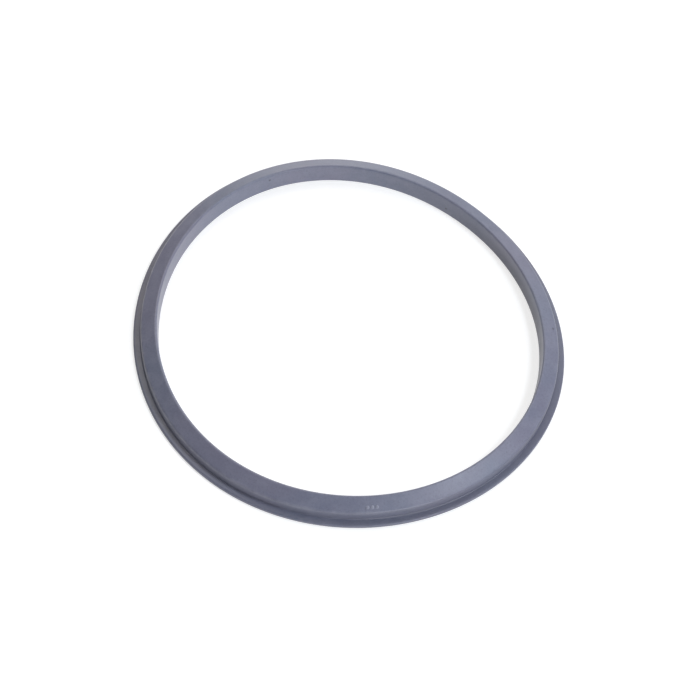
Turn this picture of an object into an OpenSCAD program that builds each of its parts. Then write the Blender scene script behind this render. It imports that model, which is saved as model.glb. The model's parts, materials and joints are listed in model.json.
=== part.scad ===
// Sealing ring for the lid of a stovetop pressure cooker: one moulded ring of grey rubber.
// Its section is a wedge. An upright bore wall meets a conical sealing face, which falls outwards
// to a rounded shoulder; a short wall drops from there to a thin lip round the foot. The underside
// is flat, with one groove that lets the wall and the lip flex against the rim of the lid.
// Z = 0 is the flat underside, +Z points up along the ring's axis, and X = Y = 0 is that axis.

/* [Ring] */
// Diameter of the bore
bore_d = 212.5; // [140:0.5:300]
// Height of the ring, from the underside to the crest between bore wall and sealing face
ring_h = 12; // [10:0.1:20]
// Width of the body, from the bore wall to the outer wall
body_w = 9.75; // [8:0.05:12]

/* [Sealing face] */
// Slope of the sealing face, in degrees below level
face_slope = 24; // [10:0.5:30]

/* [Lip] */
// How far the lip stands out from the outer wall
lip_w = 4; // [2.5:0.05:6]
// Thickness of the lip at its root
lip_t = 2.7; // [2:0.01:3.5]
// Slope of the lip's upper side, in degrees below level
lip_slope = 6; // [0:0.5:10]

/* [Groove in the underside] */
// Width of the groove
groove_w = 3.6; // [2:0.01:4.4]
// Depth of the groove
groove_h = 4.4; // [2.5:0.01:5.4]
// Thickness of the wall between the groove and the outer wall
skirt_t = 2.2; // [1.5:0.01:2.8]

/* [Rounded edges] */
// Radius of the crest between the bore wall and the sealing face
crest_r = 1; // [0.3:0.1:1.5]
// Radius of the shoulder between the sealing face and the outer wall
shoulder_r = 1.8; // [0.3:0.1:2.4]
// Radius of the hollow between the outer wall and the lip
hollow_r = 0.8; // [0.3:0.1:2.4]
// Radius of the lip's upper edge
lip_top_r = 0.8; // [0.2:0.05:1]
// Radius of the lip's lower edge
lip_foot_r = 0.5; // [0.2:0.05:0.6]
// Radius of the bore wall's lower edge
bore_foot_r = 0.6; // [0.2:0.1:1.5]
// Radius of the two edges at the groove's mouth
mouth_r = 0.3; // [0.1:0.1:0.6]
// Radius of the two corners of the groove's roof
roof_r = 1.6; // [0.3:0.1:1.8]

/* [Hidden] */

// Most degrees that one facet of a rounded edge turns
facet_turn = 8;
// Most of a side's length that the rounding at one of its ends takes
side_share = 0.48;

bore_r = bore_d / 2;
body_r = bore_r + body_w;
lip_r = body_r + lip_w;
groove_out_r = body_r - skirt_t;
groove_in_r = groove_out_r - groove_w;

// The crest's sharp corner, so high that the rounded crest comes out at ring_h
crest_h = ring_h + crest_r * (1 / tan((90 - face_slope) / 2) - 1);
shoulder_h = crest_h - body_w * tan(face_slope);
lip_edge_h = lip_t - lip_w * tan(lip_slope);

// The section's sharp corners as [radius, height, rounding], clockwise from the bore wall's foot
SECTION = [
    [bore_r, 0, bore_foot_r],
    [bore_r, crest_h, crest_r],
    [body_r, shoulder_h, shoulder_r],
    [body_r, lip_t, hollow_r],
    [lip_r, lip_edge_h, lip_top_r],
    [lip_r, 0, lip_foot_r],
    [groove_out_r, 0, mouth_r],
    [groove_out_r, groove_h, roof_r],
    [groove_in_r, groove_h, roof_r],
    [groove_in_r, 0, mouth_r],
];

function corner(i) = let (s = SECTION[(i + len(SECTION)) % len(SECTION)]) [s[0], s[1]];
function unit(v) = v / norm(v);
function turned(v, a) = [v[0] * cos(a) - v[1] * sin(a), v[0] * sin(a) + v[1] * cos(a)];

// The points of the arc that rounds corner i and touches both of its sides
function rounded(i) =
    let (
        tip = corner(i),
        back = corner(i - 1) - tip,
        ahead = corner(i + 1) - tip,
        half_angle = acos(unit(back) * unit(ahead)) / 2,
        room = side_share * min(norm(back), norm(ahead)),
        reach = min(SECTION[i][2] / tan(half_angle), room),
        middle = unit(unit(back) + unit(ahead)),
        centre = tip + middle * reach / cos(half_angle),
        start = tip + unit(back) * reach - centre,
        turn = (180 - 2 * half_angle) * sign(cross(ahead, back)),
        facets = ceil(abs(turn) / facet_turn)
    )
    [for (k = [0:facets]) centre + turned(start, turn * k / facets)];

module sealing_ring() {
    color([0.50, 0.50, 0.56])
        rotate_extrude($fn = 240)
            polygon([for (i = [0:len(SECTION) - 1]) each rounded(i)]);
}

sealing_ring();
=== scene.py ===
"""A loose sealing ring for a pressure cooker's lid, lying on a pale table.

The ring is one moulding of grey silicone rubber. A Geometry Nodes tree draws its section from a few
sizes, rounds the corners and sweeps it round the axis. A soft ring never lies quite round, so the
tree also makes it a little oval and gives it three shallow lobes.
"""

import json
import math

import bpy
from mathutils import Euler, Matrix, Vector


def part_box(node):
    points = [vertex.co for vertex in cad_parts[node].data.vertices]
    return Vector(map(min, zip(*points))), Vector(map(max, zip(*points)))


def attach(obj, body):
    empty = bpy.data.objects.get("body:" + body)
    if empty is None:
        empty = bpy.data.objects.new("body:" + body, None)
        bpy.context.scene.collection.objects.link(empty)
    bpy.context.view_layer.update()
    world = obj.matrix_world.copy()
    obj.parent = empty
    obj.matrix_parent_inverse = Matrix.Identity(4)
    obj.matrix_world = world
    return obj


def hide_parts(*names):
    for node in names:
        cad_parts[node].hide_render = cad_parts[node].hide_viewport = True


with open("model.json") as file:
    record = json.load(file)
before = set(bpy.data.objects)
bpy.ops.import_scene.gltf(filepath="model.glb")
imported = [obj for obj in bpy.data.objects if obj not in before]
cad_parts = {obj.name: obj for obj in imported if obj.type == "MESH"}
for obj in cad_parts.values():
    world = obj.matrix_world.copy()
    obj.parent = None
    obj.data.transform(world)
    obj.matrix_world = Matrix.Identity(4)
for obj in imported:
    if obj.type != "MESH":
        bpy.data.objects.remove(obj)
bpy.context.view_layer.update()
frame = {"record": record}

# ---------------------------------------------------------------------------------------------
# Sizes, in metres
# ---------------------------------------------------------------------------------------------

MM = 0.001


def mount_radius(name):
    """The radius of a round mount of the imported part."""
    mounts = {m["name"]: m for m in frame["record"]["mounts"]}
    return mounts[name]["dims"]["r_mm"] * MM


foot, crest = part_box("sealing_ring")
BORE_R = mount_radius("bore")
LIP_R = mount_radius("lip")
RING_H = crest.z - foot.z

LIP_W = 4.0 * MM
BODY_W = LIP_R - BORE_R - LIP_W
FACE_SLOPE = math.radians(24)
LIP_T = 2.7 * MM
LIP_SLOPE = math.radians(6)
GROOVE_W = 3.6 * MM
GROOVE_H = 4.4 * MM
SKIRT_T = 2.2 * MM

CREST_ROUND = 1.0 * MM
SHOULDER_ROUND = 1.8 * MM
HOLLOW_ROUND = 0.8 * MM
LIP_TOP_ROUND = 0.8 * MM
LIP_FOOT_ROUND = 0.5 * MM
BORE_FOOT_ROUND = 0.6 * MM
MOUTH_ROUND = 0.3 * MM
ROOF_ROUND = 1.6 * MM

# The line that the two halves of the mould leave round the lip's edge
SEAM_H = 1.05 * MM
SEAM_HALF_W = 0.18 * MM
SEAM_STAND = 0.12 * MM

# How far the loose ring is out of round, as an oval and three lobes, and where the first of each
# points
OVAL_SIZE = 1.9 * MM
OVAL_TURN = math.radians(-56.4)
LOBE_SIZE = 1.25 * MM
LOBE_TURN = math.radians(-7.8)

# The bore wall of the relaxed ring leans out a little towards the crest
WALL_LEAN = math.radians(3.6)

# Three raised pips low on the face, the mark of the mould's cavity
PIP_COUNT = 3
PIP_SEGMENTS = 20
PIP_RINGS = 10
PIP_R = 1.0 * MM
PIP_STAND = 0.25 * MM
PIP_PITCH = math.radians(1.25)
PIP_TURN = math.radians(-79.3)
PIP_ACROSS = 6.9 * MM

# The height of the corner between face and outer wall, before it is rounded and without the lean
SHOULDER_H = (
    RING_H
    + CREST_ROUND * (1 / math.tan((math.pi / 2 - FACE_SLOPE) / 2) - 1)
    - BODY_W * math.tan(FACE_SLOPE)
)

STEPS_AROUND = 720
FACETS_PER_CORNER = 7


# ---------------------------------------------------------------------------------------------
# Building node trees
# ---------------------------------------------------------------------------------------------


def add(tree, kind, inputs=None, **settings):
    """A new node with its settings, and its inputs linked to sockets or set to values."""
    made = tree.nodes.new(kind)
    for name, value in settings.items():
        setattr(made, name, value)
    for name, value in (inputs or {}).items():
        if isinstance(value, bpy.types.NodeSocket):
            tree.links.new(value, made.inputs[name])
        else:
            made.inputs[name].default_value = value
    return made


def calc(tree, operation, *values):
    """A Math node's result."""
    return add(tree, "ShaderNodeMath", dict(enumerate(values)), operation=operation).outputs[0]


def point(tree, x, y, z=0.0):
    return add(tree, "ShaderNodeCombineXYZ", {"X": x, "Y": y, "Z": z}).outputs[0]


def switch_by_index(tree, index, data_type, values):
    """The value that stands at that index in a list."""
    switch = add(tree, "GeometryNodeIndexSwitch", data_type=data_type)
    while len(switch.index_switch_items) < len(values):
        switch.index_switch_items.new()
    tree.links.new(index, switch.inputs["Index"])
    for i, value in enumerate(values):
        if isinstance(value, bpy.types.NodeSocket):
            tree.links.new(value, switch.inputs[i + 1])
        else:
            switch.inputs[i + 1].default_value = value
    return switch.outputs[0]


def store(tree, geometry, name, data_type, value):
    """The geometry, with a value written on its points under that name."""
    node = add(
        tree,
        "GeometryNodeStoreNamedAttribute",
        {"Geometry": geometry, "Name": name},
        data_type=data_type,
        domain="POINT",
    )
    if isinstance(value, bpy.types.NodeSocket):
        tree.links.new(value, node.inputs["Value"])
    else:
        node.inputs["Value"].default_value = value
    return node.outputs[0]


# ---------------------------------------------------------------------------------------------
# The ring
# ---------------------------------------------------------------------------------------------

RING_INPUTS = {
    "Bore Radius": BORE_R,
    "Ring Height": RING_H,
    "Body Width": BODY_W,
    "Face Slope": FACE_SLOPE,
    "Lip Width": LIP_W,
    "Lip Thickness": LIP_T,
    "Lip Slope": LIP_SLOPE,
    "Groove Width": GROOVE_W,
    "Groove Depth": GROOVE_H,
    "Skirt Thickness": SKIRT_T,
    "Crest Rounding": CREST_ROUND,
    "Shoulder Rounding": SHOULDER_ROUND,
    "Hollow Rounding": HOLLOW_ROUND,
    "Lip Top Rounding": LIP_TOP_ROUND,
    "Lip Foot Rounding": LIP_FOOT_ROUND,
    "Bore Foot Rounding": BORE_FOOT_ROUND,
    "Mouth Rounding": MOUTH_ROUND,
    "Roof Rounding": ROOF_ROUND,
    "Seam Height": SEAM_H,
    "Seam Half Width": SEAM_HALF_W,
    "Seam Stand": SEAM_STAND,
    "Wall Lean": WALL_LEAN,
    "Oval Size": OVAL_SIZE,
    "Oval Turn": OVAL_TURN,
    "Lobe Size": LOBE_SIZE,
    "Lobe Turn": LOBE_TURN,
    "Pip Radius": PIP_R,
    "Pip Stand": PIP_STAND,
    "Pip Pitch": PIP_PITCH,
    "Pip Turn": PIP_TURN,
    "Pip Across": PIP_ACROSS,
}


def crest_corner(tree, size):
    """The sharp corner between wall and face, so high that its rounding ends at the ring height."""
    steep = calc(tree, "SUBTRACT", math.pi / 2, size["Face Slope"])
    half_tip = calc(tree, "MULTIPLY", calc(tree, "ADD", steep, size["Wall Lean"]), 0.5)
    half_turn = calc(tree, "MULTIPLY", calc(tree, "SUBTRACT", steep, size["Wall Lean"]), 0.5)
    tip_share = calc(tree, "DIVIDE", calc(tree, "COSINE", half_turn), calc(tree, "SINE", half_tip))
    tip_above = calc(tree, "MULTIPLY", size["Crest Rounding"],
                     calc(tree, "SUBTRACT", tip_share, 1.0))
    height = calc(tree, "ADD", size["Ring Height"], tip_above)
    return calc(tree, "MULTIPLY", height, calc(tree, "TANGENT", size["Wall Lean"])), height


def face_height(tree, size, x):
    """The sealing face's height at x from the bore wall's foot."""
    crest_x, crest_h = crest_corner(tree, size)
    drop = calc(tree, "MULTIPLY", calc(tree, "SUBTRACT", x, crest_x),
                calc(tree, "TANGENT", size["Face Slope"]))
    return calc(tree, "SUBTRACT", crest_h, drop)


def section_stations(tree, size):
    """The section's outline as (x, height, rounding, cuts), clockwise from the bore wall's foot.

    x is counted outwards from the bore wall, and cuts is how many plain points the side after
    this corner gets, so that its flat stretch keeps its own shading.
    """
    crest_x, crest_h = crest_corner(tree, size)
    shoulder_h = face_height(tree, size, size["Body Width"])
    body = size["Body Width"]
    lip = calc(tree, "ADD", body, size["Lip Width"])
    lip_drop = calc(tree, "MULTIPLY", size["Lip Width"], calc(tree, "TANGENT", size["Lip Slope"]))
    lip_edge_h = calc(tree, "SUBTRACT", size["Lip Thickness"], lip_drop)
    groove_out = calc(tree, "SUBTRACT", body, size["Skirt Thickness"])
    groove_in = calc(tree, "SUBTRACT", groove_out, size["Groove Width"])
    seam_top = calc(tree, "ADD", size["Seam Height"], size["Seam Half Width"])
    seam_low = calc(tree, "SUBTRACT", size["Seam Height"], size["Seam Half Width"])
    seam_out = calc(tree, "ADD", lip, size["Seam Stand"])
    return [
        (0.0, 0.0, size["Bore Foot Rounding"], 4),
        (crest_x, crest_h, size["Crest Rounding"], 4),
        (body, shoulder_h, size["Shoulder Rounding"], 1),
        (body, size["Lip Thickness"], size["Hollow Rounding"], 1),
        (lip, lip_edge_h, size["Lip Top Rounding"], 0),
        (lip, seam_top, 0.0, 0),
        (seam_out, size["Seam Height"], 0.0, 0),
        (lip, seam_low, 0.0, 0),
        (lip, 0.0, size["Lip Foot Rounding"], 3),
        (groove_out, 0.0, size["Mouth Rounding"], 1),
        (groove_out, size["Groove Depth"], size["Roof Rounding"], 0),
        (groove_in, size["Groove Depth"], size["Roof Rounding"], 1),
        (groove_in, 0.0, size["Mouth Rounding"], 1),
    ]


def section_curve(tree, size):
    """The rounded section as a closed curve: x outwards, and y down, as the sweep turns it over."""
    stations = section_stations(tree, size)
    points, roundings = [], []
    for i, (x, height, rounding, cuts) in enumerate(stations):
        next_x, next_height = stations[(i + 1) % len(stations)][:2]
        here = point(tree, x, calc(tree, "MULTIPLY", height, -1.0))
        there = point(tree, next_x, calc(tree, "MULTIPLY", next_height, -1.0))
        points.append(here)
        roundings.append(rounding)
        for k in range(cuts):
            share = (k + 1) / (cuts + 1)
            between = add(tree, "ShaderNodeMix", {"Factor": share, 4: here, 5: there},
                          data_type="VECTOR")
            points.append(between.outputs[1])
            roundings.append(0.0)
    line = add(tree, "GeometryNodeMeshLine", {"Count": len(points)}).outputs[0]
    index = add(tree, "GeometryNodeInputIndex").outputs[0]
    placed = add(tree, "GeometryNodeSetPosition", {
        "Geometry": line,
        "Position": switch_by_index(tree, index, "VECTOR", points),
    }).outputs[0]
    outline = add(tree, "GeometryNodeMeshToCurve", {"Mesh": placed}).outputs[0]
    closed = add(tree, "GeometryNodeSetSplineCyclic", {"Geometry": outline, "Cyclic": True})
    return add(tree, "GeometryNodeFilletCurve", {
        "Curve": closed.outputs[0],
        "Count": FACETS_PER_CORNER,
        "Radius": switch_by_index(tree, index, "FLOAT", roundings),
        "Limit Radius": True,
    }, mode="POLY").outputs[0]


def lobes(tree, angle, count, reach, turn):
    """How far that many lobes move the ring outwards at that angle."""
    wave = calc(tree, "COSINE", calc(
        tree, "MULTIPLY", calc(tree, "SUBTRACT", angle, turn), float(count)))
    return calc(tree, "MULTIPLY", wave, reach)


def put_out_of_round(tree, size, geometry):
    """The geometry, moved in or out from the axis to the loose ring's shape."""
    place = add(tree, "GeometryNodeInputPosition").outputs[0]
    spot = add(tree, "ShaderNodeSeparateXYZ", {0: place})
    angle = calc(tree, "ARCTAN2", spot.outputs["Y"], spot.outputs["X"])
    bulge = calc(tree, "ADD", lobes(tree, angle, 2, size["Oval Size"], size["Oval Turn"]),
                 lobes(tree, angle, 3, size["Lobe Size"], size["Lobe Turn"]))
    level_place = point(tree, spot.outputs["X"], spot.outputs["Y"])
    outwards = add(tree, "ShaderNodeVectorMath", {0: level_place}, operation="NORMALIZE")
    shift = add(tree, "ShaderNodeVectorMath", {0: outwards.outputs[0], "Scale": bulge},
                operation="SCALE").outputs[0]
    return add(tree, "GeometryNodeSetPosition", {"Geometry": geometry, "Offset": shift}).outputs[0]


def cavity_pips(tree, size):
    """A short row of low domes on the sealing face, each bedded in it to its middle."""
    row = add(tree, "GeometryNodeMeshLine", {"Count": PIP_COUNT}).outputs[0]
    index = add(tree, "GeometryNodeInputIndex").outputs[0]
    angle = calc(tree, "ADD", size["Pip Turn"], calc(tree, "MULTIPLY", index, size["Pip Pitch"]))
    radius = calc(tree, "ADD", size["Bore Radius"], size["Pip Across"])
    place = point(
        tree,
        calc(tree, "MULTIPLY", radius, calc(tree, "COSINE", angle)),
        calc(tree, "MULTIPLY", radius, calc(tree, "SINE", angle)),
        face_height(tree, size, size["Pip Across"]),
    )
    spots = add(tree, "GeometryNodeSetPosition", {"Geometry": row, "Position": place}).outputs[0]
    ball = add(tree, "GeometryNodeMeshUVSphere", {
        "Segments": PIP_SEGMENTS,
        "Rings": PIP_RINGS,
        "Radius": 1.0,
    }).outputs["Mesh"]
    facing = add(tree, "FunctionNodeEulerToRotation", {
        "Euler": point(tree, 0.0, size["Face Slope"], angle),
    }).outputs[0]
    return add(tree, "GeometryNodeInstanceOnPoints", {
        "Points": spots,
        "Instance": ball,
        "Rotation": facing,
        "Scale": point(tree, size["Pip Radius"], size["Pip Radius"], size["Pip Stand"]),
    }).outputs[0]


def make_ring_tree():
    """The tree that draws the section, sweeps it round the axis and puts it out of round."""
    tree = bpy.data.node_groups.new("ring_sweep", "GeometryNodeTree")
    tree.interface.new_socket("Geometry", in_out="OUTPUT", socket_type="NodeSocketGeometry")
    for name in RING_INPUTS:
        tree.interface.new_socket(name, in_out="INPUT", socket_type="NodeSocketFloat")
    size = add(tree, "NodeGroupInput").outputs

    section = section_curve(tree, size)
    place = add(tree, "GeometryNodeInputPosition").outputs[0]
    across = add(tree, "ShaderNodeSeparateXYZ", {0: place})
    section = store(tree, section, "section", "FLOAT_VECTOR", point(
        tree,
        calc(tree, "ADD", across.outputs["X"], size["Bore Radius"]),
        calc(tree, "MULTIPLY", across.outputs["Y"], -1.0),
    ))
    circle = add(tree, "GeometryNodeCurvePrimitiveCircle", {
        "Resolution": STEPS_AROUND,
        "Radius": size["Bore Radius"],
    }).outputs[0]
    level = add(tree, "GeometryNodeSetCurveNormal", {"Curve": circle}, mode="Z_UP").outputs[0]
    swept = add(tree, "GeometryNodeCurveToMesh", {"Curve": level, "Profile Curve": section})

    both = add(tree, "GeometryNodeJoinGeometry")
    pips = add(tree, "GeometryNodeRealizeInstances", {"Geometry": cavity_pips(tree, size)})
    pips = store(tree, pips.outputs[0], "raised", "FLOAT", 1.0)
    for part in (pips, swept.outputs[0]):
        tree.links.new(part, both.inputs[0])
    loose = put_out_of_round(tree, size, both.outputs[0])
    smooth = add(tree, "GeometryNodeSetShadeSmooth", {"Geometry": loose}).outputs[0]
    add(tree, "NodeGroupOutput", {"Geometry": smooth})
    return tree


def from_tree(name, tree, values, material):
    """A plain mesh object made by a Geometry Nodes tree with those input values."""
    obj = bpy.data.objects.new(name, bpy.data.meshes.new(name))
    bpy.context.scene.collection.objects.link(obj)
    modifier = obj.modifiers.new(tree.name, "NODES")
    modifier.node_group = tree
    for socket in tree.interface.items_tree:
        if socket.in_out == "INPUT" and socket.name in values:
            modifier[socket.identifier] = values[socket.name]
    graph = bpy.context.evaluated_depsgraph_get()
    mesh = bpy.data.meshes.new_from_object(obj.evaluated_get(graph))
    mesh.name = name
    obj.modifiers.remove(modifier)
    obj.data = mesh
    # The applied mesh comes with an empty first slot, which its faces would use
    mesh.materials.clear()
    mesh.materials.append(material)
    return obj


# ---------------------------------------------------------------------------------------------
# Materials
# ---------------------------------------------------------------------------------------------

RUBBER_BLUE = (0.150, 0.163, 0.228, 1)
RUBBER_VIOLET = (0.170, 0.168, 0.232, 1)
RUBBER_PALE = (0.215, 0.220, 0.288, 1)
# Dark rubber for the deep speckles, and for the painted shade
RUBBER_DEEP = (0.085, 0.088, 0.128, 1)
# Pale rubber for the worn pips, and for the painted highlight along the shoulder
RUBBER_WEAR_AND_HIGHLIGHT = (0.300, 0.306, 0.372, 1)
SPECK = (0.035, 0.036, 0.048, 1)

# The side of the ring that gets the heavier painted shade, as a direction from its axis
SHADED_SIDE = (0.995, 0.10, 0.0)

# The larger dark specks in the rubber: the angle of each in degrees, and the section's radius and
# the height in millimetres
SPECKS = ((7.3, 113.6, 9.6), (120.5, 106.8, 8.6), (63.0, 106.5, 4.2))
SPECK_CORE = 0.3 * MM
SPECK_EDGE = 1.3 * MM
SPECK_STRENGTH = 0.7
SPECK_RAGGED = 0.4 * MM
FINE_SPECK_PITCH = 7 * MM

# The size of the rubber's cloudy tint, its mottling, its speckles and its grain
CLOUD_SIZE = 60 * MM
MOTTLE_SIZE = 6 * MM
SPECKLE_SIZE = 1.1 * MM
GRAIN_SIZE = 0.35 * MM

# How far the painted shade reaches from the foot of the outer wall, and the painted highlight from
# the shoulder
CREASE_REACH = 1.6 * MM
HIGHLIGHT_REACH = 1.5 * MM

# How close together the mould's fine lines lie, per metre
MOULD_LINES = 2500.0

TABLE_GREY = (0.5, 0.5, 0.5, 1)
TABLE_GLOW = 0.63


def noise(tree, vector, size_m, detail=3.0, roughness=0.5, w=None):
    """Noise with features of about that size."""
    inputs = {"Vector": vector, "Scale": 1 / size_m, "Detail": detail, "Roughness": roughness}
    if w is not None:
        inputs["W"] = w
    return add(tree, "ShaderNodeTexNoise", inputs,
               noise_dimensions="3D" if w is None else "4D").outputs[0]


def spread(tree, value, low, high, to_low=0.0, to_high=1.0):
    """A value, taken from one range to another and held at its ends."""
    return add(tree, "ShaderNodeMapRange", {
        "Value": value,
        "From Min": low,
        "From Max": high,
        "To Min": to_low,
        "To Max": to_high,
    }, interpolation_type="SMOOTHSTEP").outputs[0]


def mix_colour(tree, share, first, second):
    return add(tree, "ShaderNodeMix", {0: share, 6: first, 7: second}, data_type="RGBA").outputs[2]


def edge_mask(tree, section, x, height, reach):
    """1 on the section's point at that radius and height, falling to 0 at a distance of reach."""
    away = add(tree, "ShaderNodeVectorMath", {0: section, 1: (x, height, 0.0)},
               operation="DISTANCE").outputs["Value"]
    return spread(tree, away, 0.2 * reach, reach, 1.0, 0.0)


def on_ring(angle, radius, height):
    """The place on the loose ring at that angle, section radius and height."""
    a = math.radians(angle)
    oval = OVAL_SIZE * math.cos(2 * (a - OVAL_TURN))
    r = radius * MM + oval + LOBE_SIZE * math.cos(3 * (a - LOBE_TURN))
    return r * math.cos(a), r * math.sin(a), height * MM


def darken_specks(tree, colour, place, wobble):
    """The colour, with a few foreign specks of about half a millimetre and many faint fine ones."""
    for spot in SPECKS:
        away = add(tree, "ShaderNodeVectorMath", {0: place, 1: on_ring(*spot)},
                   operation="DISTANCE").outputs["Value"]
        ragged = calc(tree, "ADD", away, calc(tree, "MULTIPLY", wobble, SPECK_RAGGED))
        near = spread(tree, ragged, SPECK_CORE, SPECK_EDGE, SPECK_STRENGTH, 0.0)
        colour = mix_colour(tree, near, colour, SPECK)
    cells = add(tree, "ShaderNodeTexVoronoi", {"Vector": place, "Scale": 1 / FINE_SPECK_PITCH})
    fine = spread(tree, cells.outputs["Distance"], 0.02, 0.06, 0.35, 0.0)
    return mix_colour(tree, fine, colour, SPECK)


def make_rubber():
    """Grey moulded silicone rubber: matt, faintly blue, mottled, with fine mould marks."""
    material = bpy.data.materials.new("grey_silicone")
    material.use_nodes = True
    tree = material.node_tree
    shader = tree.nodes["Principled BSDF"]
    place = add(tree, "ShaderNodeTexCoord").outputs["Object"]
    section = add(tree, "ShaderNodeAttribute", attribute_name="section").outputs["Vector"]
    across = add(tree, "ShaderNodeSeparateXYZ", {0: section})
    flat_place = add(tree, "ShaderNodeVectorMath", {0: place, 1: (1.0, 1.0, 0.0)},
                     operation="MULTIPLY").outputs[0]
    around = add(tree, "ShaderNodeVectorMath", {0: flat_place}, operation="NORMALIZE").outputs[0]

    cloudy = noise(tree, place, CLOUD_SIZE, 3.0, 0.5, 1.0)
    mottled = noise(tree, place, MOTTLE_SIZE, 4.0, 0.6)
    speckled = noise(tree, place, SPECKLE_SIZE, 3.0, 0.7)
    grain = noise(tree, place, GRAIN_SIZE, 2.0)
    colour = mix_colour(tree, spread(tree, cloudy, 0.38, 0.62), RUBBER_BLUE, RUBBER_VIOLET)
    colour = mix_colour(tree, spread(tree, mottled, 0.3, 0.8, 0.0, 0.45), colour, RUBBER_PALE)
    colour = mix_colour(tree, spread(tree, speckled, 0.5, 0.8, 0.0, 0.40), colour, RUBBER_PALE)
    colour = mix_colour(tree, spread(tree, speckled, 0.5, 0.2, 0.0, 0.40), colour, RUBBER_DEEP)

    # Painted shade is heavier on one side of the ring: 0 on the opposite side and 1 on that one
    toward_shaded_side = add(tree, "ShaderNodeVectorMath", {0: around, 1: SHADED_SIDE},
                      operation="DOT_PRODUCT").outputs["Value"]
    shaded_side_share = spread(tree, toward_shaded_side, -0.8, 0.9)

    # Painted shade darkens the lip and the outer wall, the hollow between them, and the bore wall
    # below its crest. A painted highlight pales the shoulder, and the pips are worn paler
    radius, height = across.outputs["X"], across.outputs["Y"]
    # Painted shade beyond the shoulder: the outer wall, the hollow and the lip are darkened, more
    # on the shaded side
    outside = spread(tree, radius, BORE_R + BODY_W - 0.7 * MM, BORE_R + BODY_W - 0.1 * MM)
    painted_shade = calc(tree, "MULTIPLY", outside, spread(tree, shaded_side_share, 0.0, 1.0, 0.20, 0.50))
    colour = mix_colour(tree, painted_shade, colour, RUBBER_DEEP)
    # Painted shade in the hollow at the foot of the outer wall
    crease = edge_mask(tree, section, BORE_R + BODY_W, LIP_T, CREASE_REACH)
    painted_shade = calc(tree, "MULTIPLY", crease, spread(tree, shaded_side_share, 0.0, 1.0, 0.05, 0.45))
    colour = mix_colour(tree, painted_shade, colour, RUBBER_DEEP)
    # Painted shade on the bore wall, darker towards its foot and on the shaded side
    inside = spread(tree, radius, BORE_R + 0.7 * MM, BORE_R + 1.3 * MM, 1.0, 0.0)
    below_crest = spread(tree, height, 0.3 * RING_H, 0.95 * RING_H, 1.0, 0.0)
    inside = calc(tree, "MULTIPLY", inside, below_crest)
    painted_shade = calc(tree, "MULTIPLY", inside, spread(tree, toward_shaded_side, 0.4, 0.98, 0.0, 0.85))
    colour = mix_colour(tree, painted_shade, colour, RUBBER_DEEP)
    # Painted highlight: the shoulder's rounding is paled, only away from the shaded side
    shoulder = edge_mask(tree, section, BORE_R + BODY_W - 0.6 * MM, SHOULDER_H, HIGHLIGHT_REACH)
    shoulder_highlight = calc(tree, "MULTIPLY", shoulder, spread(tree, mottled, 0.35, 0.7, 0.0, 0.35))
    shoulder_highlight = calc(tree, "MULTIPLY", shoulder_highlight, spread(tree, shaded_side_share, 0.2, 0.8, 1.0, 0.0))
    colour = mix_colour(tree, shoulder_highlight, colour, RUBBER_WEAR_AND_HIGHLIGHT)
    raised = add(tree, "ShaderNodeAttribute", attribute_name="raised").outputs["Fac"]
    colour = mix_colour(tree, calc(tree, "MULTIPLY", raised, 0.4), colour, RUBBER_WEAR_AND_HIGHLIGHT)
    colour = darken_specks(tree, colour, place, speckled)
    tree.links.new(colour, shader.inputs["Base Color"])

    rough = spread(tree, mottled, 0.2, 0.8, 0.34, 0.48)
    tree.links.new(rough, shader.inputs["Roughness"])
    shader.inputs["Sheen Weight"].default_value = 0.15
    shader.inputs["Sheen Roughness"].default_value = 0.45
    shader.inputs["Specular IOR Level"].default_value = 0.5

    # The turned steel mould leaves fine lines that run round the ring
    lines_place = add(tree, "ShaderNodeVectorMath", {
        0: around,
        1: point(tree, 0.0, 0.0, calc(tree, "MULTIPLY", radius, MOULD_LINES)),
    }, operation="ADD").outputs[0]
    lines = noise(tree, lines_place, 1.0, 2.0, 0.5,
                  calc(tree, "MULTIPLY", height, MOULD_LINES))
    fine = calc(tree, "ADD", calc(tree, "MULTIPLY", grain, 0.5), calc(tree, "MULTIPLY", lines, 0.5))
    soft = add(tree, "ShaderNodeBump", {
        "Strength": 0.5,
        "Distance": 0.30 * MM,
        "Height": mottled,
    })
    bump = add(tree, "ShaderNodeBump", {
        "Strength": 0.4,
        "Distance": 0.08 * MM,
        "Height": fine,
        "Normal": soft.outputs[0],
    })
    tree.links.new(bump.outputs[0], shader.inputs["Normal"])
    return material


def make_table_top():
    """A plain pale table, lit through like a light table so that it stays almost white."""
    material = bpy.data.materials.new("pale_table")
    material.use_nodes = True
    shader = material.node_tree.nodes["Principled BSDF"]
    shader.inputs["Base Color"].default_value = TABLE_GREY
    shader.inputs["Roughness"].default_value = 0.9
    shader.inputs["Specular IOR Level"].default_value = 0.1
    shader.inputs["Emission Color"].default_value = (1, 1, 1, 1)
    shader.inputs["Emission Strength"].default_value = TABLE_GLOW
    return material


# ---------------------------------------------------------------------------------------------
# Camera, table and light
# ---------------------------------------------------------------------------------------------

# The camera's aim, from the ring's axis at the height of its crest
AIM = Vector((2.2 * MM, -17.6 * MM, RING_H))
CAMERA_AWAY = 1.0
CAMERA_RISE = math.radians(56.6)
CAMERA_ROLL = math.radians(7.0)
CAMERA_LENS = 94.7
LIGHT_AWAY = 1.6
COOL = (0.92, 0.995, 1.09)
WHITE = (1.0, 1.0, 1.0)
WARM = (1.03, 1.0, 0.955)
TABLE_SIDE = 6.0
ROOM_LIGHT = 0.02


def toward(azimuth, rise):
    """The direction from the ring to something that stands at that azimuth and height, in degrees.

    Azimuth 0 is the camera's own side, and 90 is to its right.
    """
    a, e = math.radians(azimuth), math.radians(rise)
    return Vector((math.sin(a) * math.cos(e), -math.cos(a) * math.cos(e), math.sin(e)))


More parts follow.
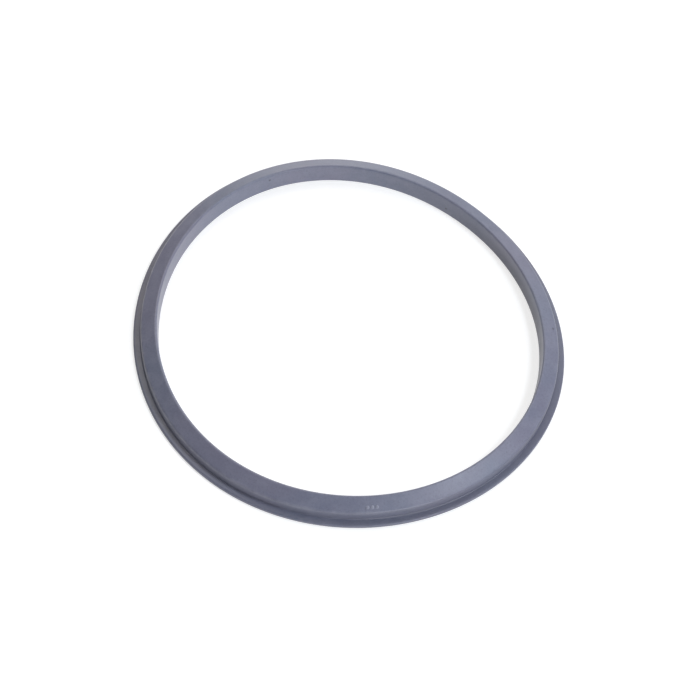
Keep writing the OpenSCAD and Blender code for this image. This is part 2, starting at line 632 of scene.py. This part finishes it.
def make_camera():
    camera = bpy.data.objects.new("camera", bpy.data.cameras.new("camera"))
    camera.data.lens = CAMERA_LENS
    camera.data.sensor_width = 36
    camera.data.clip_start = 0.05
    camera.data.clip_end = 20
    back = toward(0, math.degrees(CAMERA_RISE))
    camera.location = AIM + back * CAMERA_AWAY
    upright = back.to_track_quat("Z", "Y").to_matrix()
    camera.rotation_euler = (upright @ Euler((0, 0, CAMERA_ROLL)).to_matrix()).to_euler()
    bpy.context.scene.collection.objects.link(camera)
    bpy.context.scene.camera = camera


def make_table():
    half = TABLE_SIDE / 2
    mesh = bpy.data.meshes.new("table_top")
    spots = ((-half, -half), (half, -half), (half, half), (-half, half))
    corners = [(x, y, foot.z) for x, y in spots]
    mesh.from_pydata(corners, [], [(0, 1, 2, 3)])
    table = bpy.data.objects.new("table_top", mesh)
    mesh.materials.append(make_table_top())
    bpy.context.scene.collection.objects.link(table)


def make_softbox(name, azimuth, rise, side, power, tint):
    """A square soft light that faces the ring."""
    data = bpy.data.lights.new(name, "AREA")
    data.color = tint
    data.shape = "SQUARE"
    data.size = side
    data.energy = power
    light = bpy.data.objects.new(name, data)
    direction = toward(azimuth, rise)
    light.location = direction * LIGHT_AWAY
    light.rotation_euler = direction.to_track_quat("Z", "Y").to_euler()
    bpy.context.scene.collection.objects.link(light)


def make_light():
    world = bpy.data.worlds.new("dim_room")
    world.use_nodes = True
    world.node_tree.nodes["Background"].inputs["Color"].default_value = (1, 1, 1, 1)
    world.node_tree.nodes["Background"].inputs["Strength"].default_value = ROOM_LIGHT
    bpy.context.scene.world = world
    make_softbox("front_light", 30, 15, 0.9, 11.5, WHITE)
    make_softbox("right_light", 60, 35, 0.9, 5.0, COOL)
    make_softbox("glint_light", 80, 60, 0.3, 8.0, COOL)
    make_softbox("back_light", 150, 35, 0.9, 7.0, WHITE)
    make_softbox("low_back_light", 187, 15, 0.9, 5.8, WHITE)
    make_softbox("left_light", 212, 58, 0.9, 9.6, WARM)
    bpy.context.scene.view_settings.view_transform = "Standard"


make_camera()
make_table()
make_light()

rubber = make_rubber()
ring = from_tree("sealing_ring_moulding", make_ring_tree(), RING_INPUTS, rubber)
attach(ring, "root")
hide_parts("sealing_ring")
